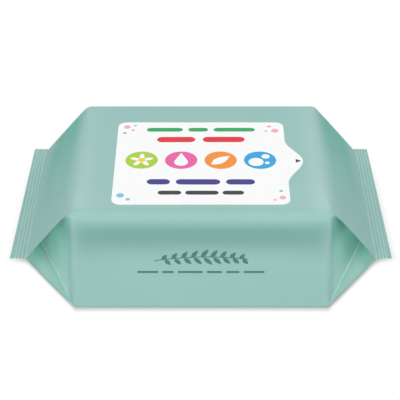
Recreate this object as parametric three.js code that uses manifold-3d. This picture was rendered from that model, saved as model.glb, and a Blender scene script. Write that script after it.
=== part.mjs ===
// Wet wipes flow pack: a film sleeve around a stack of wipes, seamed along its underside,
// tucked in and crimped flat at both ends, with a peel-back label stuck on its top.
// Millimetres, +Z up. The origin is on the floor, under the middle of the pack.

import * as THREE from "three";
import { ConvexGeometry } from "three/addons/geometries/ConvexGeometry.js";
import { mergeVertices } from "three/addons/utils/BufferGeometryUtils.js";
import Module from "manifold-3d";

const wasm = await Module();
wasm.setup();

// The pack over its end seals
const PACK_LENGTH = 196;
const PACK_DEPTH = 110;
const PACK_HEIGHT = 61;

// The long edges: a shoulder that reaches in over the top and drops down the long face,
// and a heel. Below the shoulder the long faces draw in to a waist.
const SHOULDER_REACH = 4.2;
const SHOULDER_DROP = 7;
const HEEL_RADIUS = 0.8;
const WAIST_DEPTH = 2.4;
const WAIST_HEIGHT = 36;

// The tucked ends: panels that slope from the top and the base to the end seals
const TOP_RUN = 25;
const BASE_RUN = 23;
const TOP_BEND = 16;
const EDGE_BEND = 3;
const BASE_BEND = 3;
const END_FADE = 24;
const PANEL_CROWN = 2.8;
const LIP_THICKNESS = 1;
const FOLD_RADIUS = 0.25;

// The crimped end seals, whose ends lie a little within the long faces
const SEAL_WIDTH = 8;
const SEAL_INDENT = 2;
const SEAL_HEIGHT = 31;
const SEAL_THICKNESS = 0.8;
const CRIMP_START = 1.6;
const CRIMP_PITCH = 1.5;
const CRIMP_HEIGHT = 0.3;
const CUT_MARGIN = 0.4;

// How far the sleeve's flattened end lies within a seal, along it and below its faces
const SEAL_OVERLAP = 1;
const SEAL_INSET = 0.1;

// The fin seam, folded flat along the underside
const SEAM_WIDTH = 12;
const SEAM_STEP = 0.4;
const SEAM_CREASE = 1;
const SEAM_FADE = 5;

// The reseal label, by its margins on the top face, and its pull tab
const LABEL_END_MARGIN = 19;
const LABEL_FRONT_MARGIN = 7;
const LABEL_BACK_MARGIN = 22;
const LABEL_THICKNESS = 0.25;
const LABEL_CORNER = 4.5;
const TAB_REACH = 8.7;
const TAB_BASE = 42;
const TAB_HANDLE = 7;

// Facets of the sleeve and of the crimped ridges
const STACK_STEPS = 4;
const FADE_STEPS = 4;
const BEND_STEPS = 12;
const PANEL_STEPS = 6;
const ACROSS_STEPS = 12;
const FACE_STEPS = 10;
const SHOULDER_STEPS = 6;
const HEEL_STEPS = 3;
const RIDGE_STEPS = 4;

const sealInner = PACK_LENGTH / 2 - SEAL_WIDTH;
const topHalf = sealInner - TOP_RUN;
const baseHalf = sealInner - BASE_RUN;
const depthHalf = PACK_DEPTH / 2;
const sealHalf = depthHalf - SEAL_INDENT;
const sleeveEnd = SEAL_THICKNESS - 2 * SEAL_INSET;
const foldRadius = Math.min(FOLD_RADIUS, 0.4 * sleeveEnd);

const { clamp, lerp, smoothstep } = THREE.MathUtils;

function spread(from, to, steps) {
  return Array.from({ length: steps + 1 }, (_, step) => lerp(from, to, step / steps));
}

// Zero before a bend, the plain distance after it, and a parabola across its span.
function softRamp(distance, span) {
  const into = clamp(distance + span / 2, 0, span);
  return into ** 2 / (2 * span) + Math.max(distance - span / 2, 0);
}

// How far an end panel has come from its level part (0) to the end seal (1).
function fall(x, levelHalf, bend) {
  return Math.min(softRamp(Math.abs(x) - levelHalf, bend) / (sealInner - levelHalf), 1);
}

const edgeFall = (x) => fall(x, topHalf, EDGE_BEND);
const baseFall = (x) => fall(x, baseHalf, BASE_BEND);

// Half the sleeve's depth at x: the stack is a little deeper than the seals are long.
function halfDepth(x) {
  return lerp(depthHalf, sealHalf, edgeFall(x));
}

// Rises from 0 in the middle of the sleeve to 1 at its long edges.
function edgeShare(x, y) {
  return Math.min(Math.abs(y) / halfDepth(x), 1) ** 2;
}

// The end panels are taut along the long edges and belly out between them.
function crown(x, y, share) {
  return PANEL_CROWN * (1 - edgeShare(x, y)) * Math.sin(Math.PI * share);
}

// The bend at the end of the top is soft in the middle and tight at the long edges.
function topAt(x, y) {
  const share = fall(x, topHalf, lerp(TOP_BEND, EDGE_BEND, edgeShare(x, y)));
  return lerp(PACK_HEIGHT, SEAL_HEIGHT + sleeveEnd / 2, share) + crown(x, y, share);
}

function baseAt(x, y) {
  const share = baseFall(x);
  return lerp(0, SEAL_HEIGHT - sleeveEnd / 2, share) - crown(x, y, share);
}

// The long faces lean in from the heel up to the waist and swell out again to the
// shoulder. They straighten towards the ends, where the tucks hold them.
function waistAt(x, z) {
  const held = smoothstep(Math.abs(x), topHalf - END_FADE, topHalf);
  const below = clamp(z / WAIST_HEIGHT, 0, 1);
  const above = smoothstep(z, WAIST_HEIGHT, PACK_HEIGHT - SHOULDER_DROP);
  return WAIST_DEPTH * (1 - held) * (below - above);
}

// One long face, from its heel up to its shoulder, on the side that the sign gives.
function faceOutline(x, side) {
  const half = halfDepth(x);
  const reach = lerp(SHOULDER_REACH, foldRadius, edgeFall(x));
  const drop = lerp(SHOULDER_DROP, foldRadius, edgeFall(x));
  const heel = lerp(HEEL_RADIUS, foldRadius, baseFall(x));
  const low = baseAt(x, half) + heel;
  const high = topAt(x, half) - drop;
  const heelArc = spread(-Math.PI / 2, 0, HEEL_STEPS).slice(0, -1).map((angle) => ({
    y: half - heel + heel * Math.cos(angle),
    z: low + heel * Math.sin(angle),
  }));
  const face = spread(low, high, FACE_STEPS).map((z) => ({ y: half - waistAt(x, z), z }));
  const shoulderArc = spread(0, Math.PI / 2, SHOULDER_STEPS).slice(1).map((angle) => ({
    y: half - reach + reach * Math.cos(angle),
    z: high + drop * Math.sin(angle),
  }));
  return [...heelArc, ...face, ...shoulderArc].map(({ y, z }) => new THREE.Vector3(x, side * y, z));
}

// The fin seam's creases: where it is folded over, and where its free edge ends.
const seamCreases = [
  { y: -SEAM_WIDTH / 2 - SEAM_CREASE, z: 0 },
  { y: -SEAM_WIDTH / 2, z: SEAM_STEP },
  { y: -SEAM_WIDTH / 2 + SEAM_CREASE, z: 0 },
  { y: SEAM_WIDTH / 2, z: 0 },
  { y: SEAM_WIDTH / 2 + SEAM_CREASE / 2, z: SEAM_STEP },
  { y: SEAM_WIDTH / 2 + SEAM_FADE, z: 0 },
];

function baseOutline(x, from, to) {
  const plain = (start, stop) =>
    spread(start, stop, ACROSS_STEPS / 2).slice(1, -1).map((y) => ({ y, z: 0 }));
  return [
    ...plain(from, seamCreases[0].y),
    ...seamCreases,
    ...plain(seamCreases.at(-1).y, to),
  ].map(({ y, z }) => new THREE.Vector3(x, y, baseAt(x, y) + z));
}

function topOutline(x, from, to) {
  return spread(from, to, ACROSS_STEPS)
    .slice(1, -1)
    .map((y) => new THREE.Vector3(x, y, topAt(x, y)));
}

// The sleeve's section at x, anticlockwise as seen from +X.
function sleeveSection(x) {
  const front = faceOutline(x, -1).reverse();
  const back = faceOutline(x, 1);
  return [
    ...baseOutline(x, front.at(-1).y, back[0].y),
    ...back,
    ...topOutline(x, back.at(-1).y, front[0].y),
    ...front,
  ];
}

// A closed solid through a row of sections that all have as many points.
function loft(sections) {
  const count = sections[0].length;
  const triangles = [];
  for (let ring = 0; ring + 1 < sections.length; ring += 1) {
    for (let point = 0; point < count; point += 1) {
      const near = ring * count + point;
      const beside = ring * count + ((point + 1) % count);
      triangles.push(near, beside, near + count);
      triangles.push(beside, beside + count, near + count);
    }
  }
  const capOf = (section) =>
    THREE.ShapeUtils.triangulateShape(section.map(({ y, z }) => new THREE.Vector2(y, z)), []);
  const last = (sections.length - 1) * count;
  for (const [a, b, c] of capOf(sections[0])) {
    triangles.push(a, c, b);
  }
  for (const [a, b, c] of capOf(sections.at(-1))) {
    triangles.push(last + a, last + b, last + c);
  }
  const geometry = new THREE.BufferGeometry().setFromPoints(sections.flat());
  geometry.setIndex(triangles);
  return geometry;
}

function sleeve() {
  const fadeStart = topHalf - END_FADE;
  const bendStart = topHalf - TOP_BEND / 2;
  const bendEnd = topHalf + TOP_BEND / 2;
  const half = [
    ...spread(0, fadeStart, STACK_STEPS),
    ...spread(fadeStart, bendStart, FADE_STEPS).slice(1),
    ...spread(bendStart, bendEnd, BEND_STEPS).slice(1),
    ...spread(bendEnd, sealInner, PANEL_STEPS).slice(1),
    sealInner + SEAL_OVERLAP,
  ];
  const mirrored = half.slice(1).reverse().map((x) => -x);
  return loft([...mirrored, ...half].map(sleeveSection));
}

// An end seal's strip: flat where it leaves the tucks, then as many crimped ridges as
// fit before its cut edge.
function sealStrip(end) {
  const ridges = Math.floor((SEAL_WIDTH - CRIMP_START - CUT_MARGIN) / CRIMP_PITCH);
  const wave = spread(0, ridges, ridges * RIDGE_STEPS).map(
    (turn) =>
      new THREE.Vector2(
        CRIMP_START + CRIMP_PITCH * turn,
        CRIMP_HEIGHT * Math.sin(2 * Math.PI * turn),
      ),
  );
  const middle = [new THREE.Vector2(-SEAL_OVERLAP, 0), ...wave, new THREE.Vector2(SEAL_WIDTH, 0)];
  const raised = (rise) => middle.map(({ x, y }) => new THREE.Vector2(end * (sealInner + x), y + rise));
  const outline = [...raised(-SEAL_THICKNESS / 2), ...raised(SEAL_THICKNESS / 2).reverse()];
  const strip = new THREE.ExtrudeGeometry(new THREE.Shape(outline), {
    depth: 2 * sealHalf,
    bevelEnabled: false,
  });
  strip.rotateX(Math.PI / 2);
  strip.translate(0, sealHalf, SEAL_HEIGHT);
  return strip;
}

// A tuck: the side panel is folded in to half the pack's height, so the hollow between
// the two sloping panels is a tetrahedron. Its mouth, in the long face, is cut wide.
function tuck(end, side) {
  const mouthScale = 1.1;
  const corner = (x, y, z) => new THREE.Vector3(end * x, side * y, z);
  const inner = corner(sealInner, sealHalf - PACK_HEIGHT / 2, SEAL_HEIGHT);
  const mouth = [
    corner(topHalf, depthHalf, PACK_HEIGHT - LIP_THICKNESS),
    corner(baseHalf, depthHalf, LIP_THICKNESS),
    corner(sealInner, sealHalf, SEAL_HEIGHT),
  ];
  return new ConvexGeometry([
    inner,
    ...mouth.map((point) => point.sub(inner).multiplyScalar(mouthScale).add(inner)),
  ]);
}

function toSolid(geometry) {
  const plain = geometry.clone();
  plain.deleteAttribute("normal");
  plain.deleteAttribute("uv");
  const merged = mergeVertices(plain);
  return new wasm.Manifold(
    new wasm.Mesh({
      numProp: 3,
      vertProperties: new Float32Array(merged.attributes.position.array),
      triVerts: new Uint32Array(merged.index.array),
    }),
  );
}

function toGeometry(solid) {
  const { vertProperties, triVerts } = solid.getMesh();
  const geometry = new THREE.BufferGeometry();
  geometry.setAttribute("position", new THREE.BufferAttribute(vertProperties, 3));
  geometry.setIndex(new THREE.BufferAttribute(triVerts, 1));
  geometry.computeVertexNormals();
  return geometry;
}

function filmPack() {
  let pack = toSolid(sleeve());
  for (const end of [-1, 1]) {
    pack = pack.add(toSolid(sealStrip(end)));
  }
  for (const end of [-1, 1]) {
    for (const side of [-1, 1]) {
      pack = pack.subtract(toSolid(tuck(end, side)));
    }
  }
  const film = new THREE.MeshStandardMaterial({ color: 0x98c3bc, roughness: 0.42, metalness: 0 });
  const mesh = new THREE.Mesh(toGeometry(pack), film);
  mesh.name = "film_pack";
  return mesh;
}

// The label's outline: a rounded rectangle whose right side swells into the pull tab.
function resealLabel() {
  const right = topHalf - LABEL_END_MARGIN;
  const front = LABEL_FRONT_MARGIN - depthHalf;
  const back = depthHalf - LABEL_BACK_MARGIN;
  const middle = (front + back) / 2;
  const tip = right + TAB_REACH;
  const tabFront = middle - TAB_BASE / 2;
  const tabBack = middle + TAB_BASE / 2;
  const corner = LABEL_CORNER;
  const outline = new THREE.Shape();
  outline.moveTo(corner - right, front);
  outline.absarc(right - corner, front + corner, corner, -Math.PI / 2, 0);
  outline.lineTo(right, tabFront);
  outline.bezierCurveTo(right, tabFront + TAB_HANDLE, tip, middle - TAB_HANDLE, tip, middle);
  outline.bezierCurveTo(tip, middle + TAB_HANDLE, right, tabBack - TAB_HANDLE, right, tabBack);
  outline.absarc(right - corner, back - corner, corner, 0, Math.PI / 2);
  outline.absarc(corner - right, back - corner, corner, Math.PI / 2, Math.PI);
  outline.absarc(corner - right, front + corner, corner, Math.PI, 1.5 * Math.PI);
  const sheet = new THREE.ExtrudeGeometry(outline, {
    depth: LABEL_THICKNESS,
    bevelEnabled: false,
    curveSegments: 8,
  });
  const paper = new THREE.MeshStandardMaterial({ color: 0xf6f7f5, roughness: 0.35, metalness: 0 });
  const mesh = new THREE.Mesh(sheet, paper);
  mesh.name = "reseal_label";
  mesh.position.z = PACK_HEIGHT;
  return mesh;
}

const pack = new THREE.Group();
pack.name = "wet_wipes_pack";
pack.add(filmPack(), resealLabel());

export default pack;
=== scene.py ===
"""A wet wipes flow pack in satin teal film, with tucked and crimped ends and a printed reseal label."""

import math

import bmesh
import bpy
import numpy as np
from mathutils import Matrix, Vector
from mathutils.geometry import delaunay_2d_cdt


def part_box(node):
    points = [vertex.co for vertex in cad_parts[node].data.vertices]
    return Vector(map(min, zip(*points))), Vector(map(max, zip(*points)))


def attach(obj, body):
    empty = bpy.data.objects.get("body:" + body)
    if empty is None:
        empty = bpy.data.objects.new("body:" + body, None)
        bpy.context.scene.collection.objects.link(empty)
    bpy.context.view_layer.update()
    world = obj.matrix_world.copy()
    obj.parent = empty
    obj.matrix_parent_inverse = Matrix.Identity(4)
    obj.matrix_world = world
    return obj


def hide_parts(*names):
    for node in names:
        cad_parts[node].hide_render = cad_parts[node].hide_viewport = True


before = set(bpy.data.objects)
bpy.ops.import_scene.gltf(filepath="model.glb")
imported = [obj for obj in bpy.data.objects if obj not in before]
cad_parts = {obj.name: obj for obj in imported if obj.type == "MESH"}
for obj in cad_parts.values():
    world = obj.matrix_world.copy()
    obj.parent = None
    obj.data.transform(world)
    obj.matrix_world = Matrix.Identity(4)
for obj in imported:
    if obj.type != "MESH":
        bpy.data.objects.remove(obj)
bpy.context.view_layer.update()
_, film_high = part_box("film_pack")
label_low, label_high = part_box("reseal_label")

MM = 0.001

# The pack, from the frame, and its folds
PACK_HALF = film_high.x
DEPTH_HALF = film_high.y
HEIGHT = film_high.z
SHOULDER_RADIUS = 4.2 * MM
SHOULDER_DROP = 7 * MM
HEEL_RADIUS = 0.8 * MM
WAIST_DEPTH = 2.4 * MM
WAIST_HEIGHT = 36 * MM
CORNER_ROUND = 3.2 * MM
CORNER_TIGHT = 0.4
CORNER_TIGHTENS = (22 * MM, 44 * MM)
CORNER_MOST = 0.45

# The tucked ends and the crimped seals
SEAL_WIDTH = 8 * MM
SEAL_INDENT = 2 * MM
SEAL_Z = 31 * MM
TOP_RUN = 25 * MM
BASE_RUN = 23 * MM
TOP_BEND = 16 * MM
EDGE_BEND_LEFT = 3 * MM
EDGE_BEND_RIGHT = 1 * MM
BASE_BEND = 3 * MM
SEAL_BEND = 10 * MM
END_FADE = 24 * MM
PANEL_CROWN = 2.8 * MM
EDGE_CROWN = 0.8 * MM
LIP_THICKNESS = 2.3 * MM
LIP_TAPER = 14
FOLD = 0.25 * MM
FOLD_ZONE = 2 * MM
FOLD_ZONE_MOST = 0.3
BEAD_HEIGHT = 0.8 * MM
BEAD_HALF = 0.6 * MM
BEAD_FULL = 8 * MM
BEAD_END = 8
CRIMP_DRIFT = 0.6 * MM
CRIMP_PITCH = 1.7 * MM
CRIMP_COUNT = 4
CRIMP_HEIGHT = 0.34 * MM
CRIMP_SHARP = 4

SEAL_INNER = PACK_HALF - SEAL_WIDTH
SEAL_HALF = DEPTH_HALF - SEAL_INDENT
TOP_HALF = SEAL_INNER - TOP_RUN
BASE_HALF = SEAL_INNER - BASE_RUN

# The fin seam on the underside, and the slight unevenness of the film
SEAM_HALF = 6 * MM
SEAM_GROOVE = 0.4 * MM
SEAM_GROOVE_HALF = 0.6 * MM
SEAM_RIDGE = 0.1 * MM
SEAM_RIDGE_EDGE = (0.8 * MM, 1.6 * MM)
SEAM_PITCH = 2.4 * MM
SEAM_END = 4 * MM
RIPPLE = 0.07 * MM
RIPPLE_WIDE = (15 * MM, 12 * MM)
RIPPLE_WIDE_TURN = (0.7, 0.4)
RIPPLE_NARROW = (6.3 * MM, 8.7 * MM)
RIPPLE_NARROW_TURN = 1.9
RIPPLE_NARROW_SHARE = 0.35
RIPPLE_FACE = (13 * MM, 9 * MM)
RIPPLE_FACE_TURN = (0.9, 0.3)
GATHER = 0.08 * MM
GATHER_PITCH = 8.5 * MM
GATHER_SWAY = 1.4
GATHER_SWAY_REACH = 11 * MM
GATHER_END_TURN = 0.6
GATHER_RISE = (0.4, 0.9)
GATHER_FALL = (0.9, 1)

# Rows and columns of the film's mesh
STACK_COLUMNS = 91
BESIDE_COLUMNS = 22
SEAM_COLUMNS = 45
SEAM_COLUMNS_REACH = 2.2
SEAL_COLUMNS = 41
ARC_COLUMNS = 7
HEEL_ROWS = 6
LOW_ROWS = 32
HIGH_ROWS = 30
SHOULDER_ROWS = 9
TUCK_ROW = HEEL_ROWS + LOW_ROWS
WALL_COLUMNS = 24
WALL_SPACING = 1.7
LIP_COLUMNS = 16
FOLD_COLUMNS = 9
WELD = 1e-7
SHARP_ANGLE = math.radians(38)

# Painted light and shade of the top and the base: painted highlights on the bends, lips and crimp crests
# and a painted pool of light on the top's front margin, painted shade deepening the end slopes, and painted
# shade in the seals' crimp valleys
LIP_TONE = 0.25
LIP_GLINT = 0.7 * MM
LIP_START = 3 * MM
CREST_TONE = 0.32
BEND_TONE_FRONT = 0.16
BEND_TONE_BACK = 0.06
BEND_LEAN = 0.3
BEND_BEFORE = 4 * MM
BEND_REACH = 6 * MM
FRONT_TONE = 0.07
FRONT_REACH = 0.2
PALE_MARGIN = 4 * MM
SLOPE_TONE_FRONT = 0.22
SLOPE_DEEPENS = (-0.7 * DEPTH_HALF, DEPTH_HALF)
SLOPE_RISE = (-0.05, 0.3)
SLOPE_FALL = (0.65, 1)
SEAL_TONE = 0.5

# Painted shade and light of the long faces: a painted shaded band below the shoulder, and painted
# highlights on the upright edges
BAND_RISE = (WAIST_HEIGHT - 10 * MM, WAIST_HEIGHT + 11 * MM)
BAND_FALL = (HEIGHT - 13 * MM, HEIGHT - 3 * MM)
BAND_END_TONE = 0.6
BAND_END = (TOP_HALF - 8 * MM, TOP_HALF + 1 * MM)
EDGE_TONE = 0.06
EDGE_GLINT = 2.4 * MM

# Painted light and shade under the lips of the tucks: painted highlights on the folds and free edges, and
# painted pocket light, by the way in along a fold or the distance from the free edge
FOLD_TONE = 0.35
FOLD_GLINT = 1.1 * MM
FOLD_RISE = (0.2, 0.9)
RIM_TONE = 0.5
RIM_GLINT = 0.9 * MM
UNDER_TONE = 0.75
UNDER_START = (0.5 * MM, 2 * MM)
UNDER_DEEPENS = (0.2, 0.6)
LOWER_OUTER = (0.62, 0.85)
LOWER_OUTER_PALE = (0.62, 0.7)
LOWER_OUTER_RISE = (0.25, 0.55)
LOWER_OUTER_PLAIN = 0.75
LOWER_RIM_GREEN = 0.45
LOWER_RIM_GREEN_REACH = (2 * MM, 12 * MM)
LOWER_RIM_PALE = 0.22
LOWER_RIM_PALE_RISE = (0.5, 0.8)
LOWER_RIM_PALE_REACH = (4 * MM, 14 * MM)
LOWER_INNER_PALE = 0.3
LOWER_INNER_RISE = (0.85, 1)
LOWER_INNER_REACH = 6 * MM

# Painted light and shade on the walls of the tucks, by height, by the way in, or by radii of the rounded
# corner
WALL_TURN = (0.2, 2.4)
WALL_PALE = 0.52
WALL_PALE_FALL = (12 * MM, 32 * MM)
WALL_GREEN = (0.05, 0.6)
WALL_GREEN_RISE = (14 * MM, 32 * MM)
WALL_TOP = (38 * MM, 48 * MM)
WALL_TOP_GREEN = 0.15
# Painted shadow of the lip on the wall's top, stronger at one end
WALL_TOP_SHADE = 0.6
WALL_TOP_LEAN = 0.15
WALL_BAND_END = (2 * CORNER_ROUND, 5 * CORNER_ROUND)
INMOST_RISE = (0.35, 0.9)
INMOST_GREEN = 0.4
INMOST_PALE = 0.4
INMOST_LEAN = 0.3
INMOST_REACH = 9 * MM


def lerp(start, stop, share):
    return start + (stop - start) * share


def smooth_step(value, start, stop):
    share = np.clip((value - start) / (stop - start), 0, 1)
    return share * share * (3 - 2 * share)


def near(distance, reach):
    return np.exp(-((distance / reach) ** 2))


def unit(vectors):
    return vectors / np.maximum(np.linalg.norm(vectors, axis=-1, keepdims=True), WELD)


def soft_ramp(distance, span):
    """Zero before a bend, the plain distance after it, and a parabola across its span."""
    into = np.clip(distance + span / 2, 0, span)
    return into**2 / (2 * np.maximum(span, WELD)) + np.maximum(distance - span / 2, 0)


def fall(x, level_half, bend, seal_bend=0):
    """How far an end panel has come from its level part, 0, to the end seal, 1."""
    run = SEAL_INNER - level_half
    left = run - soft_ramp(np.abs(x) - level_half, bend)
    return 1 - soft_ramp(left, seal_bend) / run


def panel_share(x, level_half):
    return np.clip((np.abs(x) - level_half) / (SEAL_INNER - level_half), 0, 1)


def edge_bend(x):
    """The span in which a long upper edge turns down into an end panel."""
    return np.where(x > 0, EDGE_BEND_RIGHT, EDGE_BEND_LEFT)


def half_depth(x):
    return lerp(DEPTH_HALF, SEAL_HALF, fall(x, TOP_HALF, edge_bend(x)))


def edge_share(x, y):
    """Rises from 0 in the middle of the sleeve to 1 at its long edges."""
    return np.minimum(np.abs(y) / half_depth(x), 1) ** 2


def crown(x, y, share, edge_crown=0):
    """The end panels belly out, less at their taut long edges."""
    return lerp(PANEL_CROWN, edge_crown, edge_share(x, y)) * np.sin(np.pi * share)


def waves(across, along, lengths, turns):
    return np.sin(across / lengths[0] + turns[0]) * np.sin(along / lengths[1] + turns[1])


def ripple(x, y):
    """Slight unevenness of the film over the stack, and small gathers beside the seals."""
    wide = waves(x, y, RIPPLE_WIDE, RIPPLE_WIDE_TURN)
    narrow = np.sin(x / RIPPLE_NARROW[0] + y / RIPPLE_NARROW[1] + RIPPLE_NARROW_TURN)
    share = panel_share(x, TOP_HALF)
    uneven = RIPPLE * (wide + RIPPLE_NARROW_SHARE * narrow) * (1 - share)
    near_seal = smooth_step(share, *GATHER_RISE) * (1 - smooth_step(share, *GATHER_FALL))
    sway = GATHER_SWAY * np.sin(y / GATHER_SWAY_REACH)
    turn = 2 * np.pi * y / GATHER_PITCH + sway + GATHER_END_TURN * np.sign(x)
    return (uneven + GATHER * near_seal * np.sin(turn)) * (1 - edge_share(x, y))


def crimp(x, y):
    """The narrow ridges that are pressed into the end seals, a little askew."""
    turn = (np.abs(x) - SEAL_INNER - CRIMP_DRIFT * y / SEAL_HALF) / CRIMP_PITCH
    pressed = (turn > 0) & (turn < CRIMP_COUNT)
    return np.where(pressed, CRIMP_HEIGHT * np.sin(np.pi * turn) ** CRIMP_SHARP, 0)


def top_height(x, y):
    edge = edge_share(x, y)
    share = fall(x, TOP_HALF, lerp(TOP_BEND, edge_bend(x), edge), SEAL_BEND * (1 - edge))
    return lerp(HEIGHT, SEAL_Z + FOLD, share) + crown(x, y, share) + ripple(x, y) + crimp(x, y)


def fin_seam(y):
    """The folded seam: a groove on each side of a strip with fine lengthwise ridges."""
    grooves = sum(near(y - place, SEAM_GROOVE_HALF) for place in (-SEAM_HALF, SEAM_HALF))
    on_strip = smooth_step(SEAM_HALF - np.abs(y), *SEAM_RIDGE_EDGE)
    ridges = 0.5 - 0.5 * np.cos(2 * np.pi * y / SEAM_PITCH)
    return SEAM_GROOVE * grooves + SEAM_RIDGE * on_strip * ridges


def base_height(x, y):
    share = fall(x, BASE_HALF, BASE_BEND, SEAL_BEND * (1 - edge_share(x, y)))
    level = lerp(0, SEAL_Z - FOLD, share)
    seam = fin_seam(y) * (1 - smooth_step(np.abs(x), SEAL_INNER - SEAM_END, SEAL_INNER))
    return level - crown(x, y, share, EDGE_CROWN) + seam + crimp(x, y)


def shoulder_size(x):
    """How far the rounded upper edge reaches in over the top, and down the long face."""
    share = fall(x, TOP_HALF, edge_bend(x))
    return lerp(SHOULDER_RADIUS, FOLD, share), lerp(SHOULDER_DROP, FOLD, share)


def heel_size(x):
    radius = lerp(HEEL_RADIUS, FOLD, fall(x, BASE_HALF, BASE_BEND))
    return radius, radius


def lip_turn(x, drop, level_half):
    """The angle at which a rounded long edge ends in the lip of a tuck."""
    thickness = lerp(FOLD, LIP_THICKNESS, (1 - panel_share(x, level_half)) ** LIP_TAPER)
    return np.arcsin(np.clip(1 - thickness / drop, 0, 1))


def slack(x):
    """The long faces are free to swell, 1, except towards their ends, 0."""
    return 1 - smooth_step(np.abs(x), TOP_HALF - END_FADE, TOP_HALF)


def waist(x, z):
    """The long faces lean in from the heel to the waist and swell out to the shoulder."""
    below = np.clip(z / WAIST_HEIGHT, 0, 1)
    above = smooth_step(z, WAIST_HEIGHT, HEIGHT - SHOULDER_DROP)
    return WAIST_DEPTH * slack(x) * (below - above)


def face_depth(x, z):
    """Half the pack's depth on its long faces, between the heel and the shoulder."""
    uneven = RIPPLE * waves(x, z, RIPPLE_FACE, RIPPLE_FACE_TURN)
    return half_depth(x) - waist(x, z) + uneven * slack(x) * np.sin(np.pi * np.clip(z / HEIGHT, 0, 1))


class Skin:
    """Grids of points that are welded into one closed mesh, with masks of painted light and shade for its
    material at each point.
    """

    def __init__(self):
        self.points = []
        self.marks = {"painted_light": [], "painted_pocket_light": [], "painted_slope_shade": [], "painted_shade": []}
        self.faces = []
        self.count = 0

    def grid(self, points, **marks):
        rows, columns = points.shape[:2]
        index = self.count + np.arange(rows * columns).reshape(rows, columns)
        corners = (index[:-1, :-1], index[1:, :-1], index[1:, 1:], index[:-1, 1:])
        self.faces.append(np.stack([corner.ravel() for corner in corners], axis=1))
        self.points.append(points.reshape(-1, 3))
        for name, values in self.marks.items():
            values.append(np.broadcast_to(marks.get(name, 0), (rows, columns)).ravel())
        self.count += rows * columns

    def mesh(self, name):
        mesh = bpy.data.meshes.new(name)
        mesh.from_pydata(np.concatenate(self.points), [], np.concatenate(self.faces).tolist())
        for mark, values in self.marks.items():
            attribute = mesh.attributes.new(mark, "FLOAT", "POINT")
            attribute.data.foreach_set("value", np.concatenate(values).astype(np.float32))
        shape = bmesh.new()
        shape.from_mesh(mesh)
        bmesh.ops.remove_doubles(shape, verts=shape.verts, dist=WELD)
        bmesh.ops.dissolve_degenerate(shape, edges=shape.edges, dist=WELD)
        finish_mesh(shape, mesh)
        return mesh


def finish_mesh(shape, mesh):
    """Turns the faces outward and shades them smoothly, except across sharp edges."""
    bmesh.ops.recalc_face_normals(shape, faces=shape.faces)
    for face in shape.faces:
        face.smooth = True
    for edge in shape.edges:
        edge.smooth = edge.calc_face_angle(0) < SHARP_ANGLE
    shape.to_mesh(mesh)
    shape.free()


# Painted highlights on the lips, bends, front margin and crimp crests; painted shade on the end slopes,
# darker towards the back, and in the seals' crimp valleys.
def panel_marks(x, y, half, level_half, up):
    from_edge = half - np.abs(y)
    tucked = smooth_step(np.abs(x), level_half, level_half + LIP_START) * (np.abs(x) <= SEAL_INNER)
    crest = crimp(x, y) / CRIMP_HEIGHT
    painted_light = LIP_TONE * tucked * near(from_edge, LIP_GLINT) + CREST_TONE * crest
    if up > 0:
        bend_highlight = near(np.abs(x) - level_half + BEND_BEFORE, BEND_REACH) * (1 + BEND_LEAN * np.sign(x))
        bend_highlight = bend_highlight * lerp(BEND_TONE_FRONT, BEND_TONE_BACK, smooth_step(y, -half, half))
        front_light = FRONT_TONE * (1 - smooth_step(y, -half, -FRONT_REACH * half)) * (np.abs(x) < SEAL_INNER)
        painted_light = painted_light + (bend_highlight + front_light) * smooth_step(from_edge, 0, PALE_MARGIN)
    share = panel_share(x, level_half)
    to_back = lerp(SLOPE_TONE_FRONT, 1, smooth_step(y, *SLOPE_DEEPENS))
    painted_slope_shade = to_back * smooth_step(share, *SLOPE_RISE) * (1 - smooth_step(share, *SLOPE_FALL))
    painted_shade = SEAL_TONE * (np.abs(x) > SEAL_INNER) * (1 - crest)
    return {"painted_light": painted_light, "painted_slope_shade": painted_slope_shade, "painted_shade": painted_shade}


def panel_sheet(stations, size, height, level_half, up):
    """The top or the base, over its end panels and seals, from the front edge to the back one."""
    x = stations[:, None]
    half = half_depth(x)
    reach, drop = size(x)
    turn = lerp(lip_turn(x, drop, level_half), np.pi / 2, np.linspace(0, 1, ARC_COLUMNS))
    edge = half - reach + reach * np.cos(turn)
    middle = SEAM_HALF * SEAM_COLUMNS_REACH / DEPTH_HALF
    beside = np.linspace(middle, 1, BESIDE_COLUMNS)[:-1]
    across = np.concatenate([-beside[::-1], np.linspace(-middle, middle, SEAM_COLUMNS)[1:-1], beside])
    y = np.concatenate([-edge, across * (half - reach), edge[:, ::-1]], axis=1)
    over = np.clip((np.abs(y) - half) / reach + 1, 0, 1)
    z = height(x, y) - up * drop * (1 - np.sqrt(1 - over**2))
    points = np.stack([np.broadcast_to(x, y.shape), y, z], axis=-1)
    return points, panel_marks(x, y, half, level_half, up)


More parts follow.
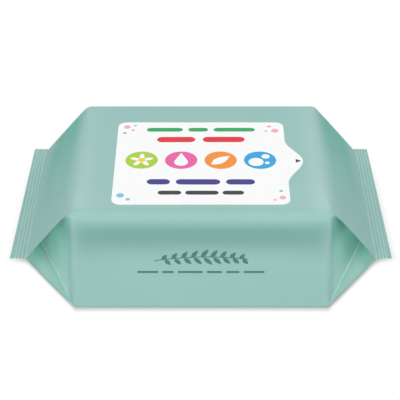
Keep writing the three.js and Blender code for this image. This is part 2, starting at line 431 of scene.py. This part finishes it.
def long_face(shares, side):
    """A long face, row by row from its heel to its shoulder, for shares of its half length."""
    base_x, top_x = shares * BASE_HALF, shares * TOP_HALF
    heel, _ = heel_size(base_x)
    heel_turn = -lip_turn(base_x, heel, BASE_HALF) * np.linspace(1, 0, HEEL_ROWS, endpoint=False)[:, None]
    heel_y = half_depth(base_x) - heel + heel * np.cos(heel_turn)
    heel_z = base_height(base_x, side * heel_y) + heel + heel * np.sin(heel_turn)
    reach, drop = shoulder_size(top_x)
    shoulder_turn = lip_turn(top_x, drop, TOP_HALF) * np.linspace(0, 1, SHOULDER_ROWS + 1)[1:, None]
    shoulder_y = half_depth(top_x) - reach + reach * np.cos(shoulder_turn)
    shoulder_z = top_height(top_x, side * shoulder_y) - drop + drop * np.sin(shoulder_turn)
    tuck_rise = (SEAL_Z - HEEL_RADIUS) / (HEIGHT - SHOULDER_DROP - HEEL_RADIUS)
    below = np.linspace(0, tuck_rise, LOW_ROWS, endpoint=False)
    rise = np.concatenate([below, np.linspace(tuck_rise, 1, HIGH_ROWS)])[:, None]
    face_x = lerp(BASE_HALF, TOP_HALF, rise) * shares
    low = base_height(face_x, half_depth(face_x)) + heel_size(face_x)[1]
    high = top_height(face_x, half_depth(face_x)) - shoulder_size(face_x)[1]
    face_z = lerp(low, high, rise)
    heel_x = np.broadcast_to(base_x, heel_z.shape)
    shoulder_x = np.broadcast_to(top_x, shoulder_z.shape)
    x = np.concatenate([heel_x, face_x, shoulder_x])
    y = np.concatenate([heel_y, face_depth(face_x, face_z), shoulder_y])
    z = np.concatenate([heel_z, face_z, shoulder_z])
    return np.stack([x, side * y, z], axis=-1)


def band(z):
    """The painted shaded band of the long faces, below the shoulder."""
    return smooth_step(z, *BAND_RISE) * (1 - smooth_step(z, *BAND_FALL))


# Painted highlights along the upright edges, and the painted shaded band below the shoulder.
def face_marks(face):
    along = np.abs(face[..., 0])
    painted_light = EDGE_TONE * near(np.abs(face[:, -1:, 0]) - along, EDGE_GLINT)
    painted_shade = lerp(1, BAND_END_TONE, smooth_step(along, *BAND_END)) * band(face[..., 2])
    return {"painted_light": painted_light, "painted_shade": painted_shade}


def tuck_shares(edge):
    """How far each row of a stack's end edge is from the base, and the top, to the tuck's inner point."""
    z = edge[:, 2]
    from_base = (z[: TUCK_ROW + 1] - z[0]) / (z[TUCK_ROW] - z[0])
    from_top = (z[-1] - z[TUCK_ROW:]) / (z[-1] - z[TUCK_ROW])
    return from_base, from_top[::-1]


def outer_stations(level_half, shares):
    panel = level_half + shares[1:] * (SEAL_INNER - level_half)
    return np.concatenate([panel, np.linspace(SEAL_INNER, PACK_HALF, SEAL_COLUMNS)[1:]])


def to_fold(length, columns, power):
    """Distances from a free edge to a fold, close together beside the fold."""
    zone = np.minimum(FOLD_ZONE, FOLD_ZONE_MOST * length)[:, None]
    open_part = (length[:, None] - zone) * np.linspace(0, 1, columns) ** power
    beside_fold = length[:, None] - zone * np.linspace(1, 0, FOLD_COLUMNS)[1:]
    return np.concatenate([open_part, beside_fold], axis=1)


def lip_points(sheet, level_half, count, end, side):
    """The free edge of an end panel, from the panel's bend to the end seal."""
    middle = (len(sheet) - 1) // 2
    from_middle = np.abs(sheet[middle:, 0, 0]) if end > 0 else np.abs(sheet[middle::-1, 0, 0])
    first = middle + end * int(np.searchsorted(from_middle, level_half - WELD))
    return sheet[first + end * np.arange(count), 0 if side < 0 else -1]


# Painted pocket light under the upper lips, and painted highlights along their folds and free edges.
def upper_marks(reach, from_fold, inward):
    painted_pocket_light = smooth_step(reach, *UNDER_START) * lerp(UNDER_TONE, 1, smooth_step(inward, *UNDER_DEEPENS))
    folded = FOLD_TONE * near(from_fold, FOLD_GLINT) * smooth_step(inward, *FOLD_RISE)
    return {"painted_light": folded + RIM_TONE * near(reach, RIM_GLINT), "painted_pocket_light": painted_pocket_light}


def lower_marks(reach, from_fold, inward):
    """The lower end panels get more painted light outside, and as much of the greener painted pocket light
    as the upper ones only beside the seal.
    """
    marks = upper_marks(reach, from_fold, inward)
    outer = 1 - smooth_step(inward, *LOWER_OUTER)
    paler = marks["painted_pocket_light"] * outer * lerp(*LOWER_OUTER_PALE, smooth_step(inward, *LOWER_OUTER_RISE))
    inner = LOWER_INNER_PALE * smooth_step(inward, *LOWER_INNER_RISE)
    inner = inner * smooth_step(reach, 0, LOWER_INNER_REACH)
    rim = 1 - smooth_step(reach, *LOWER_RIM_PALE_REACH)
    rim = LOWER_RIM_PALE * smooth_step(inward, *LOWER_RIM_PALE_RISE) * rim
    green = lerp(LOWER_RIM_GREEN, 1, smooth_step(reach, *LOWER_RIM_GREEN_REACH))
    painted_light = np.minimum(marks["painted_light"] + paler + inner + rim, 1)
    return {"painted_light": painted_light, "painted_pocket_light": marks["painted_pocket_light"] * (1 - LOWER_OUTER_PLAIN * outer) * green}


# Painted light low on the walls and along their edges and folds, greener painted pocket light, a painted
# shadow of the lip at the wall's top, and the painted shaded band carried onto the wall.
def wall_marks(wall, past, run, corner, end):
    height = wall[..., 2]
    at_top = smooth_step(height, *WALL_TOP)
    turned_in = smooth_step(past, WALL_TURN[0] * corner[:, None], WALL_TURN[1] * corner[:, None])
    inmost = smooth_step(past / np.maximum(run, WELD)[:, None], *INMOST_RISE)
    low = WALL_PALE * turned_in * (1 - smooth_step(height, *WALL_PALE_FALL))
    folded = FOLD_TONE * near(run[:, None] - past, FOLD_GLINT) * smooth_step(height / SEAL_Z, *FOLD_RISE)
    innermost = (INMOST_PALE - INMOST_LEAN * end) * inmost * near(height - SEAL_Z, INMOST_REACH)
    painted_light = np.minimum(EDGE_TONE * near(past, EDGE_GLINT) + folded + low, 1)
    green = lerp(*WALL_GREEN, smooth_step(height, *WALL_GREEN_RISE)) + WALL_TOP_GREEN * at_top
    return {
        "painted_light": np.minimum(painted_light + innermost, 1),
        "painted_pocket_light": np.minimum(green + INMOST_GREEN * inmost, 1) * turned_in,
        "painted_slope_shade": (WALL_TOP_SHADE + WALL_TOP_LEAN * end) * turned_in * at_top,
        "painted_shade": BAND_END_TONE * band(height) * (1 - smooth_step(past, *WALL_BAND_END)),
    }


def raise_bead(mouth, raised, parts):
    """A fine bead along a lower fold, on the wall and on the panel that meet there."""
    for points, from_fold, length in parts:
        inward = 1 - from_fold / np.maximum(length, WELD)[:, None]
        points += mouth[:, None] * (raised * inward * near(from_fold, BEAD_HALF))[..., None]


def tuck(skin, face, top, base, end, side, from_base, from_top):
    """The folds of one corner, which run in from the end of a long face; it rounds that face's end too."""
    edge = face[:, -1 if end > 0 else 0].copy()
    inner_point = np.array([end * SEAL_INNER, side * (SEAL_HALF - HEIGHT / 2), SEAL_Z])
    base_fold = lerp(edge[0], inner_point, from_base[:, None])
    top_fold = lerp(edge[-1], inner_point, from_top[:, None])
    inner = np.concatenate([base_fold, top_fold[::-1][1:]])
    run = np.linalg.norm(inner - edge, axis=1)
    along_face = np.array([end, 0, 0])
    inturn = (inner - edge) / np.maximum(run, WELD)[:, None] - along_face
    corner = CORNER_ROUND * lerp(1, CORNER_TIGHT, smooth_step(edge[:, 2], *CORNER_TIGHTENS))
    bend = 2 * np.minimum(corner, CORNER_MOST * run)[:, None]
    before = np.abs(face[..., 0]) - np.abs(edge[:, 0])[:, None]
    on_this_half = end * face[..., 0] > 0
    face += inturn[:, None] * np.where(on_this_half, soft_ramp(before, bend), 0)[..., None]
    past = to_fold(run, WALL_COLUMNS, WALL_SPACING)
    wall = edge[:, None] + past[..., None] * along_face + soft_ramp(past, bend)[..., None] * inturn[:, None]
    for sheet, fold, level_half in ((top, top_fold, TOP_HALF), (base, base_fold, BASE_HALF)):
        lip = lip_points(sheet, level_half, len(fold), end, side)
        width = np.linalg.norm(fold - lip, axis=1)
        reach = to_fold(width, LIP_COLUMNS, 1)
        under = lip[:, None] + reach[..., None] * unit(fold - lip)[:, None]
        from_fold = width[:, None] - reach
        if sheet is top:
            skin.grid(under, **upper_marks(reach, from_fold, from_top[:, None]))
            continue
        rows = slice(0, TUCK_ROW + 1)
        mouth = unit(unit(edge[rows] - fold) + unit(lip - fold))
        raised = np.minimum(np.minimum(run[rows], width) / BEAD_FULL, BEAD_END * (1 - from_base))
        raised = np.clip(BEAD_HEIGHT * raised, 0, BEAD_HEIGHT)[:, None]
        on_wall = (wall[rows], run[rows, None] - past[rows], run[rows])
        raise_bead(mouth, raised, (on_wall, (under, from_fold, width)))
        skin.grid(under, **lower_marks(reach, from_fold, from_base[:, None]))
    skin.grid(wall, **wall_marks(wall, past, run, corner, end))


def film_mesh():
    skin = Skin()
    shares = np.sin(np.linspace(-1, 1, STACK_COLUMNS) * np.pi / 2)
    faces = {side: long_face(shares, side) for side in (-1, 1)}
    from_base, from_top = tuck_shares(faces[1][:, -1])
    sheets = []
    for level_half, inward, size, height, up in (
        (TOP_HALF, from_top, shoulder_size, top_height, 1),
        (BASE_HALF, from_base, heel_size, base_height, -1),
    ):
        outer = outer_stations(level_half, inward)
        stations = np.concatenate([-outer[::-1], shares * level_half, outer])
        points, marks = panel_sheet(stations, size, height, level_half, up)
        skin.grid(points, **marks)
        sheets.append(points)
    top, base = sheets
    for end in (-1, 1):
        for side in (-1, 1):
            tuck(skin, faces[side], top, base, end, side, from_base, from_top)
    for face in faces.values():
        skin.grid(face, **face_marks(face))
    for row in (0, -1):
        skin.grid(np.stack([top[row], base[row]]))
    return skin.mesh("film_pack_skin")


# Print is drawn in millimetres on the plane of its face
TAB_REACH = 8.7
TAB_BASE = 42
TAB_HANDLE = 7
TAB_LIFT = 0.25 * MM
LABEL_CORNER = 4.5
LABEL_TAPER = 0.018
LABEL_THICKNESS = 0.2 * MM
LABEL_SPACING = 3
PRINT_THICKNESS = 0.04 * MM
PRINT_SPACING = 2
CUT_INSIDE = 1
CUT_TOLERANCE = 1e-4
CORNER_STEPS = 8
LEAF_STEPS = 12
LEAF_LEAN = 0.85
DROP_ARC = (155, 385)
DROP_STEPS = 28
DROP_POINT = 2.5
PETAL_STEPS = 14
PETAL_MIDDLE = 0.66
PETAL_SWING = 0.34
STEM_STEPS = 14
DOT_STEPS = 20


def turned(points, angle, x, y):
    cos, sin = math.cos(angle), math.sin(angle)
    return [(x + px * cos - py * sin, y + px * sin + py * cos) for px, py in points]


def arc(x, y, radius, start, stop, steps):
    angles = np.radians(np.linspace(start, stop, steps + 1))
    return [(x + radius * math.cos(a), y + radius * math.sin(a)) for a in angles]


def disc(x, y, radius, steps=40):
    return arc(x, y, radius, 0, 360, steps)[:-1]


def pill(left, right, y, height):
    radius = height / 2
    right_end = arc(right - radius, y, radius, -90, 90, CORNER_STEPS)
    return right_end + arc(left + radius, y, radius, 90, 270, CORNER_STEPS)


def leaf(x, y, length, width, angle):
    """Pointed at both ends; it starts at the point given and grows along the angle."""
    along = np.linspace(0, 1, LEAF_STEPS + 1)
    upper = [(length * t, width / 2 * math.sin(math.pi * t**LEAF_LEAN)) for t in along]
    lower = [(px, -py) for px, py in reversed(upper[1:-1])]
    return turned(upper + lower, math.radians(angle), x, y)


def water_drop(x, y, radius):
    """A round drop that runs up to a point above its middle."""
    return arc(x, y, radius, *DROP_ARC, DROP_STEPS) + [(x, y + DROP_POINT * radius)]


def flower(x, y, radius, petals, spin):
    angles = np.linspace(0, 2 * np.pi, PETAL_STEPS * petals, endpoint=False)
    outline = [(radius * (PETAL_MIDDLE + PETAL_SWING * math.cos(petals * a)), a) for a in angles]
    return [(x + r * math.cos(a + spin), y + r * math.sin(a + spin)) for r, a in outline]


def stem(points, width):
    """A ribbon of even width along a quadratic curve through three control points."""
    start, control, stop = (np.array(point, float) for point in points)
    share = np.linspace(0, 1, STEM_STEPS + 1)[:, None]
    middle = (1 - share) ** 2 * start + 2 * share * (1 - share) * control + share**2 * stop
    heading = (1 - share) * (control - start) + share * (stop - control)
    heading /= np.linalg.norm(heading, axis=1)[:, None]
    beside = np.stack([-heading[:, 1], heading[:, 0]], axis=1) * width / 2
    return [tuple(p) for p in np.concatenate([middle + beside, (middle - beside)[::-1]])]


def bezier(start, first, second, stop, steps=14):
    share = np.linspace(0, 1, steps + 1)[:, None]
    corners = [np.array(p, float) for p in (start, first, second, stop)]
    weights = ((1 - share) ** 3, 3 * share * (1 - share) ** 2, 3 * share**2 * (1 - share), share**3)
    return [tuple(p) for p in sum(w * c for w, c in zip(weights, corners))]


def label_outline():
    left, front, back = (value / MM for value in (label_low.x, label_low.y, label_high.y))
    tip = label_high.x / MM
    right = tip - TAB_REACH
    middle = (front + back) / 2
    near_end = middle - TAB_BASE / 2
    handles = ((right, near_end + TAB_HANDLE), (tip, middle - TAB_HANDLE))
    rise = bezier((right, near_end), *handles, (tip, middle))
    descent = [(x, 2 * middle - y) for x, y in reversed(rise[:-1])]
    corner = LABEL_CORNER
    outline = (
        arc(right - corner, front + corner, corner, -90, 0, CORNER_STEPS)
        + rise
        + descent
        + arc(right - corner, back - corner, corner, 0, 90, CORNER_STEPS)
        + arc(left + corner, back - corner, corner, 90, 180, CORNER_STEPS)
        + arc(left + corner, front + corner, corner, 180, 270, CORNER_STEPS)
    )
    return [(x * (1 - LABEL_TAPER * (back - y) / (back - front)), y) for x, y in outline]


def label_print():
    """Fields of colour on the label, as ink and outline, in the order in which they are laid."""
    lines = (
        ("green", 25, 4, ((-30, -10), (-7, 4), (7, 30))),
        ("red", 14.5, 5.6, ((-24, -3), (1, 24))),
        ("navy", -27.5, 5, ((-28, -16), (-13, 10), (13, 28))),
        ("charcoal", -37.5, 3.6, ((-22, -10), (-8, 9), (11, 22))),
    )
    shapes = [(ink, pill(*ends, y, height)) for ink, y, height, bars in lines for ends in bars]
    medal_y, medal_radius = -6.5, 8.6
    medals = (
        ("lime", -31.5, flower(-31.5, medal_y, 6.4, 5, 0.3)),
        ("pink", -10.5, water_drop(-10.5, -8.4, 3.7)),
        ("orange", 10.5, leaf(5.6, -10.8, 13, 5.6, 41)),
        ("sky", 31.5, disc(29.3, -8.3, 4)),
    )
    for ink, x, motif in medals:
        shapes += [(ink, disc(x, medal_y, medal_radius)), ("paper", motif)]
    shapes += [
        ("yellow", disc(-31.5, medal_y, 2)),
        ("paper", disc(34.6, -2.9, 2.2, 24)),
        ("paper", disc(35.2, -9.2, 1.3, DOT_STEPS)),
        ("charcoal", [(50.4, -9.3), (53.4, -7.5), (50.4, -5.7)]),
    ]
    bubbles = (
        ("rose", -41, 28, 1.8),
        ("rose", -37.5, 24.5, 1),
        ("rose", 38, 28.5, 1.2),
        ("rose", 41, 24, 2),
        ("rose", 41.5, -42, 1.7),
        ("rose", 37.5, -44, 0.9),
        ("mist", -42, 21.5, 1.1),
        ("mist", -36.5, 29.5, 0.8),
        ("mist", -41, -40, 2),
        ("mist", -37, -43.5, 1.2),
        ("mist", 36, 23.5, 0.8),
        ("mist", 41, -36, 1),
    )
    return shapes + [(ink, disc(*bubble, DOT_STEPS)) for ink, *bubble in bubbles]


def front_print():
    """A twig with paired leaves over a row of short bars, drawn on the plane of the front face."""
    crest_x, crest_y, bend = 2, 31.4, 0.0031
    length, shrink, width = 6.4, 0.11, 2.3
    upper_angle, lower_angle, lower_shift = 52, -44, 1.4
    shapes = [stem(((-24, 29.5), (0, 33.5), (24, 30.5)), 0.55)]
    for x in range(-20, 21, 5):
        y = crest_y - bend * (x - crest_x) ** 2
        size = length - shrink * abs(x)
        shapes.append(leaf(x, y, size, width, upper_angle))
        shapes.append(leaf(x + lower_shift, y, size, width, lower_angle))
    bars = ((-33, -22), (-20, -14), (-12, 1), (3, 11), (13, 20), (22, 33))
    shapes += [pill(left, right, 22.5, 1.3) for left, right in bars]
    return [("leaf_green", shape) for shape in shapes]


def winding(outline):
    """Positive where an outline runs anticlockwise."""
    return sum(x0 * y1 - x1 * y0 for (x0, y0), (x1, y1) in zip(outline, outline[1:] + outline[:1]))


def sheet_mesh(name, shapes, place, thickness, spacing, inks):
    """A thin closed sheet over the shapes, with each ink's fields cut into its upper face."""
    points, loops = [], []
    for _, outline in shapes:
        loop = list(range(len(points), len(points) + len(outline)))
        loops.append(loop if winding(outline) > 0 else loop[::-1])
        points += outline
    low, high = np.min(points, axis=0), np.max(points, axis=0)
    for u in np.arange(low[0], high[0], spacing):
        for v in np.arange(low[1], high[1], spacing):
            points.append((u, v))
    cut = delaunay_2d_cdt([Vector(p) for p in points], [], loops, CUT_INSIDE, CUT_TOLERANCE)
    flat, _, faces, _, _, sources = cut
    shape = bmesh.new()
    upper = [shape.verts.new(place(p.x * MM, p.y * MM, thickness)) for p in flat]
    lower = [shape.verts.new(place(p.x * MM, p.y * MM, 0)) for p in flat]
    sides = {}
    for corners, source in zip(faces, sources):
        face = shape.faces.new([upper[c] for c in corners])
        face.material_index = inks.index(shapes[max(source)][0])
        shape.faces.new([lower[c] for c in reversed(corners)])
        for a, b in zip(corners, corners[1:] + corners[:1]):
            if (b, a) in sides:
                del sides[b, a]
            else:
                sides[a, b] = face.material_index
    for (a, b), ink in sides.items():
        side = shape.faces.new([upper[a], lower[a], lower[b], upper[b]])
        side.material_index = ink
    bmesh.ops.delete(shape, geom=[v for v in shape.verts if not v.link_faces], context="VERTS")
    mesh = bpy.data.meshes.new(name)
    finish_mesh(shape, mesh)
    return mesh


def on_top(x, y, lift):
    tab = smooth_step(x, label_high.x - TAB_REACH * MM, label_high.x)
    return x, y, float(top_height(x, y) + lift + TAB_LIFT * tab * (lift > 0))


def on_front(x, z, lift):
    return x, -float(face_depth(x, z)) - lift, z


def linear(red, green, blue):
    """A colour given as it shows on a screen, 0 to 255, as the shader takes it."""
    shown = np.array([red, green, blue]) / 255
    return (*np.where(shown <= 0.04045, shown / 12.92, ((shown + 0.055) / 1.055) ** 2.4), 1)


FILM_COLOUR = linear(151, 193, 187)
FILM_DEEP = linear(148, 191, 185)
FILM_PALE = linear(156, 196, 191)
FILM_TONES = {
    # A paler, greener painted pocket light, for light bounced into the shade of the tucks
    "painted_pocket_light": linear(160, 222, 207),
    # A deeper, greener painted shade on the end slopes, darker towards the back, and under the lips on the
    # walls
    "painted_slope_shade": linear(102, 176, 160),
    # A darker painted shade for the band below the shoulder, the seals' crimp valleys and the walls
    "painted_shade": linear(123, 171, 163),
    # A pale painted highlight along folds, lips, bends, edges and crimp crests, and painted light inside
    # the tucks
    "painted_light": linear(205, 231, 225),
}
INKS = {
    "paper": ((253, 254, 254), (255, 255, 255)),
    "lime": ((166, 207, 44), (174, 212, 60)),
    "yellow": ((246, 200, 40), (248, 206, 60)),
    "pink": ((232, 92, 164), (236, 104, 172)),
    "orange": ((243, 142, 48), (246, 152, 64)),
    "sky": ((30, 162, 222), (44, 170, 226)),
    "green": ((20, 160, 84), (34, 168, 96)),
    "red": ((222, 34, 52), (228, 48, 64)),
    "charcoal": ((44, 44, 48), (54, 54, 58)),
    "navy": ((54, 46, 130), (64, 56, 138)),
    "rose": ((240, 170, 186), (243, 180, 194)),
    "mist": ((120, 196, 226), (132, 202, 230)),
    "leaf_green": ((78, 118, 112), (86, 126, 120)),
}
NOISE_SPAN = (0.3, 0.7)

# The floor's shade: its outline under the pack and its ends, and how sharply it stops on each side
FLOOR_HALF = 3
FLOOR_SHADE = linear(197, 197, 197)
FLOOR_DULL = linear(235, 235, 235)
FLOOR_ROUGHNESS = 0.9
SHADE_FRONT = -13 * MM
SHADE_BACK = 72 * MM
SHADE_HALF = 101 * MM
SHADE_SHIFT = 0.5 * MM
SHADE_ROUND = 8 * MM
SHADE_EDGE = (-1.5 * MM, 4.8 * MM)
SHADE_FRONT_SHARP = 1.7
SHADE_END_SHARP = 0.5
SHADE_BACK_SHARP = 0.15

# The world's light, from the horizon up
WORLD_HORIZON = 0.22
WORLD_ZENITH = 0.23
WORLD_ZENITH_FROM = 0.8


class Nodes:
    """A node material, with short ways to add and join its nodes."""

    def __init__(self, name):
        self.material = bpy.data.materials.new(name)
        self.material.use_nodes = True
        self.tree = self.material.node_tree
        self.shader = self.tree.nodes["Principled BSDF"]
        self.place = self.add("ShaderNodeTexCoord").outputs["Object"]

    def add(self, kind, **values):
        node = self.tree.nodes.new(kind)
        for name, value in values.items():
            setattr(node, name, value)
        return node

    def join(self, source, target):
        self.tree.links.new(source, target)

    def shade(self, name, source):
        self.join(source, self.shader.inputs[name])

    def noise(self, scale, detail):
        node = self.add("ShaderNodeTexNoise")
        self.join(self.place, node.inputs["Vector"])
        node.inputs["Scale"].default_value = scale
        node.inputs["Detail"].default_value = detail
        return node.outputs["Fac"]

    def ranged(self, source, low, high, span=NOISE_SPAN, kind="LINEAR"):
        node = self.add("ShaderNodeMapRange", interpolation_type=kind)
        self.join(source, node.inputs["Value"])
        values = {"From Min": span[0], "From Max": span[1], "To Min": low, "To Max": high}
        for name, value in values.items():
            node.inputs[name].default_value = value
        return node.outputs["Result"]

    def mix(self, share, first, second):
        node = self.add("ShaderNodeMix", data_type="RGBA")
        self.join(share, node.inputs["Factor"])
        for value, socket in ((first, node.inputs["A"]), (second, node.inputs["B"])):
            if isinstance(value, tuple):
                socket.default_value = value
            else:
                self.join(value, socket)
        return node.outputs["Result"]

    def calc(self, operation, *values):
        node = self.add("ShaderNodeMath", operation=operation)
        for value, socket in zip(values, node.inputs):
            if isinstance(value, (int, float)):
                socket.default_value = value
            else:
                self.join(value, socket)
        return node.outputs["Value"]

    def bump(self, source, distance, strength, under=None):
        node = self.add("ShaderNodeBump")
        self.join(source, node.inputs["Height"])
        node.inputs["Distance"].default_value = distance
        node.inputs["Strength"].default_value = strength
        if under:
            self.join(under, node.inputs["Normal"])
        return node.outputs["Normal"]


def film_material():
    nodes = Nodes("film")
    broad = nodes.ranged(nodes.noise(scale=28, detail=2), low=0, high=1)
    grain = nodes.ranged(nodes.noise(scale=1400, detail=2), low=0, high=0.3)
    colour = nodes.mix(broad, FILM_COLOUR, FILM_DEEP)
    colour = nodes.mix(grain, colour, FILM_PALE)
    # The masks of painted light and shade lay their colours over the film's own.
    for mark, tone in FILM_TONES.items():
        share = nodes.add("ShaderNodeAttribute", attribute_name=mark).outputs["Fac"]
        colour = nodes.mix(share, colour, tone)
    nodes.shade("Base Color", colour)
    nodes.shade("Roughness", nodes.ranged(nodes.noise(scale=90, detail=3), low=0.56, high=0.64))
    nodes.shader.inputs["Specular IOR Level"].default_value = 0.3
    loose = nodes.bump(nodes.noise(scale=75, detail=2), distance=0.25 * MM, strength=0.25)
    fine = nodes.noise(scale=2600, detail=2)
    nodes.shade("Normal", nodes.bump(fine, distance=0.02 * MM, strength=0.2, under=loose))
    return nodes.material


def printed_material(name, colour, paler):
    nodes = Nodes(name)
    speckle = nodes.ranged(nodes.noise(scale=900, detail=3), low=0, high=1)
    nodes.shade("Base Color", nodes.mix(speckle, colour, paler))
    nodes.shade("Roughness", nodes.ranged(nodes.noise(scale=160, detail=2), low=0.45, high=0.55))
    nodes.shader.inputs["Specular IOR Level"].default_value = 0.2
    nodes.shade("Normal", nodes.bump(nodes.noise(scale=1800, detail=2), distance=0.01 * MM, strength=0.15))
    return nodes.material


def add_piece(name, mesh, node=None):
    piece = bpy.data.objects.new(name, mesh)
    bpy.context.scene.collection.objects.link(piece)
    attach(piece, "root")
    if node:
        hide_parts(node)
    return piece


def add_print(mesh, inks):
    for ink in inks:
        colour, paler = INKS[ink]
        mesh.materials.append(printed_material(ink, linear(*colour), linear(*paler)))


def build_pack():
    film = add_piece("film_pack_skin", film_mesh(), "film_pack")
    film.data.materials.append(film_material())
    front_inks = ["leaf_green"]
    label_inks = [ink for ink in INKS if ink not in front_inks]
    shapes = [("paper", label_outline())] + label_print()
    sheet = sheet_mesh("reseal_label_sheet", shapes, on_top, LABEL_THICKNESS, LABEL_SPACING, label_inks)
    label = add_piece("reseal_label_sheet", sheet, "reseal_label")
    add_print(label.data, label_inks)
    shapes = front_print()
    sheet = sheet_mesh("front_print", shapes, on_front, PRINT_THICKNESS, PRINT_SPACING, front_inks)
    printed = add_piece("front_print", sheet)
    add_print(printed.data, front_inks)


def seen_share(tree):
    """1 for what is seen straight, in a gloss or through glass, and 0 for what only lights the pack."""
    path = tree.nodes.new("ShaderNodeLightPath")
    share = path.outputs["Is Camera Ray"]
    for kind in ("Is Glossy Ray", "Is Transmission Ray"):
        both = tree.nodes.new("ShaderNodeMath")
        both.operation = "MAXIMUM"
        tree.links.new(share, both.inputs[0])
        tree.links.new(path.outputs[kind], both.inputs[1])
        share = both.outputs["Value"]
    return share


def past_shade(nodes):
    """How far a point of the floor lies outside the shade, which draws in under the fronts of the ends."""
    parts = nodes.add("ShaderNodeSeparateXYZ")
    nodes.join(nodes.place, parts.inputs["Vector"])
    x, y = parts.outputs["X"], parts.outputs["Y"]
    run, rise = PACK_HALF - BASE_HALF, DEPTH_HALF + SHADE_FRONT
    sharp = SHADE_FRONT_SHARP / math.hypot(run, rise)
    off_middle = nodes.calc("ABSOLUTE", nodes.calc("SUBTRACT", x, SHADE_SHIFT))
    past_base = nodes.calc("SUBTRACT", off_middle, BASE_HALF - SHADE_SHIFT)
    aside = nodes.calc("MULTIPLY", past_base, rise * sharp)
    behind = nodes.calc("MULTIPLY", nodes.calc("ADD", y, DEPTH_HALF), run * sharp)
    under_end = nodes.calc("SUBTRACT", aside, behind)
    front = nodes.calc("MAXIMUM", under_end, nodes.calc("SUBTRACT", -DEPTH_HALF, y))
    front = nodes.calc("SMOOTH_MIN", front, nodes.calc("SUBTRACT", SHADE_FRONT, y), SHADE_ROUND)
    ends = nodes.calc("MULTIPLY", nodes.calc("SUBTRACT", off_middle, SHADE_HALF), SHADE_END_SHARP)
    back = nodes.calc("MULTIPLY", nodes.calc("SUBTRACT", y, SHADE_BACK), SHADE_BACK_SHARP)
    front_and_ends = nodes.calc("SMOOTH_MAX", front, ends, SHADE_ROUND)
    return nodes.calc("SMOOTH_MAX", front_and_ends, back, SHADE_ROUND)


def floor_material():
    """White as it is seen, shaded under the pack, and a duller grey where it only throws light back."""
    nodes = Nodes("floor")
    seen = seen_share(nodes.tree)
    nodes.shade("Base Color", nodes.mix(seen, FLOOR_DULL, FLOOR_SHADE))
    nodes.shader.inputs["Roughness"].default_value = FLOOR_ROUGHNESS
    nodes.shader.inputs["Specular IOR Level"].default_value = 0
    glow = nodes.add("ShaderNodeEmission")
    lit = nodes.ranged(past_shade(nodes), low=0, high=1, span=SHADE_EDGE, kind="SMOOTHSTEP")
    mixed = nodes.add("ShaderNodeMixShader")
    nodes.join(nodes.calc("MULTIPLY", seen, lit), mixed.inputs["Fac"])
    nodes.join(nodes.shader.outputs["BSDF"], mixed.inputs[1])
    nodes.join(glow.outputs["Emission"], mixed.inputs[2])
    nodes.join(mixed.outputs["Shader"], nodes.tree.nodes["Material Output"].inputs["Surface"])
    return nodes.material


def build_stage():
    half = FLOOR_HALF
    mesh = bpy.data.meshes.new("floor")
    corners = [(-half, -half, 0), (half, -half, 0), (half, half, 0), (-half, half, 0)]
    mesh.from_pydata(corners, [], [(0, 1, 2, 3)])
    floor = bpy.data.objects.new("floor", mesh)
    bpy.context.scene.collection.objects.link(floor)
    mesh.materials.append(floor_material())


def add_softbox(name, place, aim, width, height, power):
    light = bpy.data.lights.new(name, "AREA")
    light.shape = "RECTANGLE"
    light.size, light.size_y = width, height
    light.energy = power
    lamp = bpy.data.objects.new(name, light)
    lamp.location = place
    lamp.rotation_euler = (Vector(aim) - Vector(place)).to_track_quat("-Z", "Y").to_euler()
    bpy.context.scene.collection.objects.link(lamp)


def build_world():
    """White as it is seen, with light from all round that is dimmest at the horizon."""
    world = bpy.data.worlds.new("studio")
    world.use_nodes = True
    tree = world.node_tree
    place = tree.nodes.new("ShaderNodeTexCoord")
    parts = tree.nodes.new("ShaderNodeSeparateXYZ")
    tree.links.new(place.outputs["Generated"], parts.inputs["Vector"])
    level = tree.nodes.new("ShaderNodeMapRange")
    level.interpolation_type = "SMOOTHSTEP"
    tree.links.new(parts.outputs["Z"], level.inputs["Value"])
    level.inputs["From Min"].default_value = 0
    level.inputs["From Max"].default_value = WORLD_ZENITH_FROM
    level.inputs["To Min"].default_value = WORLD_HORIZON
    level.inputs["To Max"].default_value = WORLD_ZENITH
    strength = tree.nodes.new("ShaderNodeMix")
    tree.links.new(seen_share(tree), strength.inputs["Factor"])
    tree.links.new(level.outputs["Result"], strength.inputs["A"])
    strength.inputs["B"].default_value = 1
    tree.links.new(strength.outputs["Result"], tree.nodes["Background"].inputs["Strength"])
    tree.nodes["Background"].inputs["Color"].default_value = (1, 1, 1, 1)
    bpy.context.scene.world = world


def build_light():
    build_world()
    low, high = (0, 0, 0.03), (0, 0, 0.05)
    add_softbox("key", place=(0, -0.95, 1.05), aim=low, width=2.6, height=0.8, power=13.3)
    add_softbox("front", place=(-0.3, -1.15, 0.3), aim=low, width=0.6, height=0.4, power=2.7)
    for side, fill_power in ((-1, 1), (1, 2)):
        add_softbox("fill", place=(side, -0.8, 0.75), aim=low, width=0.7, height=0.6, power=fill_power)
        add_softbox("rim", place=(side * 0.48, 0.98, 0.72), aim=high, width=0.5, height=0.4, power=4.5)


def build_camera():
    looks_down = 34.357
    camera_data = bpy.data.cameras.new("camera")
    camera_data.lens = 101.444
    camera_data.sensor_width = 36
    camera_data.shift_x = -0.0022
    camera = bpy.data.objects.new("camera", camera_data)
    camera.location = (0, -513.683 * MM, 382.181 * MM)
    camera.rotation_euler = (math.radians(90 - looks_down), 0, 0)
    bpy.context.scene.collection.objects.link(camera)
    bpy.context.scene.camera = camera


build_camera()
build_stage()
build_light()
build_pack()
bpy.context.scene.view_settings.view_transform = "Standard"
